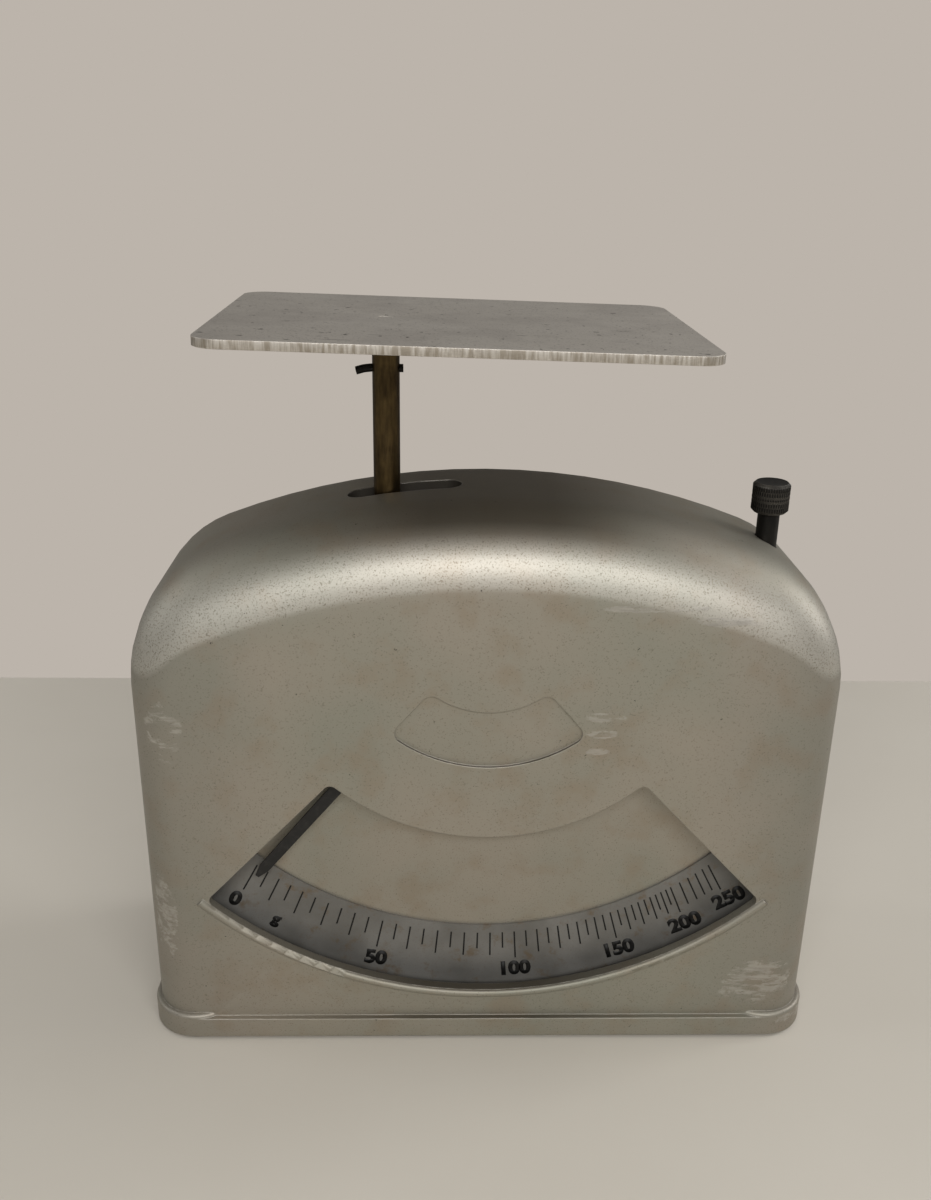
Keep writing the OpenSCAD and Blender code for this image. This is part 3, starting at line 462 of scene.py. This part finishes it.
def dialFigures(look):
    inkY = stripLow.y - look["thick"]
    pieces = []
    for words, turn, lean in look["figures"]:
        a = math.radians(turn)
        centre = Vector((look["radius"] * math.sin(a), inkY, pivot.z - look["radius"] * math.cos(a)))
        pieces.append(printedText(words, centre, lean, look["height"]))
    words, (x, z), lean, height = look["unit"]
    pieces.append(printedText(words, Vector((x * mm, inkY, z * mm)), lean, height))
    onlyActive(pieces[0])
    for piece in pieces:
        piece.select_set(True)
    bpy.ops.object.join()
    figures = bpy.context.object
    # The ink film reaches back to the strip, so no letter floats
    bpy.ops.object.mode_set(mode="EDIT")
    bpy.ops.mesh.select_all(action="SELECT")
    bpy.ops.mesh.extrude_region_move(TRANSFORM_OT_translate={"value": (0, look["thick"], 0)})
    bpy.ops.object.mode_set(mode="OBJECT")
    return finishPiece(figures, "dial_figures", dialInk, "housing")


dialFigures(figureLook)
print("figures printed")

knobLook = {"ridges": 46, "turns": 3, "depth": 0.16 * mm, "rows": 11, "steps": 184, "chamfer": 0.55 * mm,
            "headHeight": 6.2 * mm, "headRadius": 3.75 * mm, "stemRadius": 2.2 * mm, "dish": 0.12 * mm,
            "dishEdge": 1.2 * mm, "stemLength": 14.5 * mm, "stemLap": 0.1 * mm, "joinWithin": 0.005 * mm}


def knurledScrew(look):
    # The visible head and stem, spun from a profile, with diamond ridges pressed into the head
    top = screwHigh.z
    low = top - look["headHeight"]
    r = look["headRadius"]
    knurl = look["headHeight"] - 2 * look["chamfer"]
    rows = [(r, low + look["chamfer"] + knurl * i / look["rows"]) for i in range(look["rows"] + 1)]
    stem = [(look["stemRadius"], low - look["stemLength"]), (look["stemRadius"], low)]
    crown = [(r - look["chamfer"], top), (r - look["dishEdge"], top - look["dish"]), (0, top - look["dish"])]
    profile = stem + [(r - look["chamfer"], low)] + rows + crown
    edges = [(i, i + 1) for i in range(len(profile) - 1)]
    mesh = bpy.data.meshes.new("knurled_head")
    mesh.from_pydata([(screwX + a, 0, z) for a, z in profile], edges, [])
    piece = bpy.data.objects.new("knurled_head", mesh)
    bpy.context.scene.collection.objects.link(piece)
    onlyActive(piece)
    bpy.ops.object.mode_set(mode="EDIT")
    bpy.ops.mesh.select_all(action="SELECT")
    bpy.ops.mesh.spin(steps=look["steps"], angle=2 * math.pi, center=(screwX, 0, 0), axis=(0, 0, 1))
    bpy.ops.mesh.select_all(action="SELECT")
    bpy.ops.mesh.remove_doubles(threshold=look["joinWithin"])
    bpy.ops.object.mode_set(mode="OBJECT")
    for vertex in mesh.vertices:
        out = Vector((vertex.co.x - screwX, vertex.co.y, 0))
        if out.length > r - 0.01 * mm:
            turn = math.atan2(out.y, out.x) * look["ridges"]
            climb = (vertex.co.z - low) / look["headHeight"] * 2 * math.pi * look["turns"]
            groove = max(math.cos(turn + climb), math.cos(turn - climb))
            vertex.co -= out.normalized() * look["depth"] * max(0.0, groove)
    bpy.ops.object.shade_smooth_by_angle(angle=math.radians(30))
    return piece


# The screw below the head keeps the solid's own shape, so the two pieces make one screw
shank = roundedCopy("thumb_screw", "thumb_screw_shank", "adjuster", 35)
head = knurledScrew(knobLook)
onlyActive(shank)
bpy.ops.object.mode_set(mode="EDIT")
bpy.ops.mesh.select_all(action="SELECT")
cutZ = screwHigh.z - knobLook["headHeight"] - knobLook["stemLength"] + knobLook["stemLap"]
bpy.ops.mesh.bisect(plane_co=(screwX, 0, cutZ), plane_no=(0, 0, 1), clear_outer=True, use_fill=True)
bpy.ops.object.mode_set(mode="OBJECT")
finishPiece(head, "thumb_screw_head", blackenedSteel, "adjuster")
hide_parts("thumb_screw")

pinLook = {"bendX": 1.2 * mm, "drop": 0.55 * mm, "tilt": 0.15 * mm}


def bentCrossPin(look):
    # The pin's long end has been knocked down a little
    radius = (crossHigh.z - crossLow.z) / 2
    z = (crossHigh.z + crossLow.z) / 2
    curve = bpy.data.curves.new("cross_pin", "CURVE")
    curve.dimensions = "3D"
    spline = curve.splines.new("BEZIER")
    spline.bezier_points.add(2)
    bend = columnLow.x - look["bendX"]
    stops = [(crossLow.x, z - look["drop"]), (bend, z - look["tilt"] / 2), (crossHigh.x, z)]
    for point, (x, height) in zip(spline.bezier_points, stops):
        point.co = (x, 0, height)
        point.handle_left_type = point.handle_right_type = "AUTO"
    curve.bevel_depth = radius
    curve.bevel_resolution = 6
    curve.use_fill_caps = True
    piece = bpy.data.objects.new("cross_pin", curve)
    bpy.context.scene.collection.objects.link(piece)
    onlyActive(piece)
    bpy.ops.object.convert(target="MESH")
    piece = bpy.context.object
    bpy.ops.object.shade_smooth_by_angle(angle=math.radians(40))
    finishPiece(piece, "cross_pin_bent", blackenedSteel, "carrier")
    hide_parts("cross_pin")


bentCrossPin(pinLook)
print("screw and pin made")

stageLook = {"floor": "#CAC4B9", "shade": "#C0B9AD", "size": 6.0, "farEdge": 0.153}


def paleFloor(look):
    bpy.ops.object.select_all(action="DESELECT")
    bpy.ops.mesh.primitive_plane_add(size=look["size"], location=(0, look["farEdge"] - look["size"] / 2, 0))
    floor = bpy.context.object
    floor.name = "floor"
    material, tree, shader = newMaterial("paleTableTop")
    tone = noiseField(tree, 60 * mm, 3)
    colour = mixColour(tree, levels(tree, tone, 0.3, 0.7, 0, 0.3), linearColour(look["floor"]),
                       linearColour(look["shade"]))
    tree.links.new(colour, shader.inputs["Base Color"])
    shader.inputs["Roughness"].default_value = 0.7
    floor.data.materials.append(material)


paleFloor(stageLook)

cameraLook = {"place": (-10.43, -222.5, 179.3), "yaw": 1.594, "down": 21.558, "roll": 0.937, "lens": 34.47}


def photoCamera(look):
    yaw, down, roll = (math.radians(look[k]) for k in ("yaw", "down", "roll"))
    ahead = Vector((math.sin(yaw) * math.cos(down), math.cos(yaw) * math.cos(down), -math.sin(down)))
    level = Vector((math.cos(yaw), -math.sin(yaw), 0))
    up = level.cross(ahead)
    right = level * math.cos(roll) + up * math.sin(roll)
    top = up * math.cos(roll) - level * math.sin(roll)
    data = bpy.data.cameras.new("photoCamera")
    data.sensor_fit = "VERTICAL"
    data.sensor_height = 36
    data.lens = look["lens"]
    data.clip_start = 0.01
    camera = bpy.data.objects.new("photoCamera", data)
    bpy.context.scene.collection.objects.link(camera)
    camera.matrix_world = Matrix((
        (right.x, top.x, -ahead.x, look["place"][0] * mm),
        (right.y, top.y, -ahead.y, look["place"][1] * mm),
        (right.z, top.z, -ahead.z, look["place"][2] * mm),
        (0, 0, 0, 1)))
    bpy.context.scene.camera = camera


photoCamera(cameraLook)

lightLook = {
    # Soft panels: place, target and size in metres, power in watts
    "panels": [("frontWindow", (0.05, -0.72, 0.56), (0, -0.02, 0.1), (0.9, 0.16), 5.0),
               ("leftWindow", (-0.65, 0.05, 0.5), (0, 0, 0.08), (0.3, 0.5), 0.8),
               ("rightWindow", (0.7, 0.1, 0.45), (0, 0, 0.08), (0.3, 0.5), 1.8)],
    "sky": (0.62, 70, (-0.3, -0.1, -1)),
    "room": "#C4BFB8", "roomStrength": 0.26, "wall": "#BCB4AB",
}


def studioLight(look):
    for name, place, target, size, power in look["panels"]:
        data = bpy.data.lights.new(name, "AREA")
        data.shape = "RECTANGLE"
        data.size, data.size_y = size
        data.energy = power
        lamp = bpy.data.objects.new(name, data)
        bpy.context.scene.collection.objects.link(lamp)
        lamp.location = place
        aim = Vector(target) - Vector(place)
        lamp.rotation_euler = aim.to_track_quat("-Z", "Y").to_euler()
    strength, spread, direction = look["sky"]
    sky = bpy.data.lights.new("softSky", "SUN")
    sky.energy = strength
    sky.angle = math.radians(spread)
    lamp = bpy.data.objects.new("softSky", sky)
    bpy.context.scene.collection.objects.link(lamp)
    lamp.rotation_euler = Vector(direction).to_track_quat("-Z", "Y").to_euler()
    world = bpy.data.worlds.new("room")
    bpy.context.scene.world = world
    world.use_nodes = True
    tree = world.node_tree
    tree.nodes.clear()
    seen = addNode(tree, "LightPath").outputs["Is Camera Ray"]
    colour = mixColour(tree, seen, linearColour(look["room"]), linearColour(look["wall"]))
    strength = levels(tree, seen, 0, 1, look["roomStrength"], 1.0)
    background = addNode(tree, "Background", {"Color": colour, "Strength": strength})
    addNode(tree, "OutputWorld", {"Surface": background.outputs[0]})


studioLight(lightLook)
bpy.context.scene.view_settings.view_transform = "Standard"
print("camera and light set")
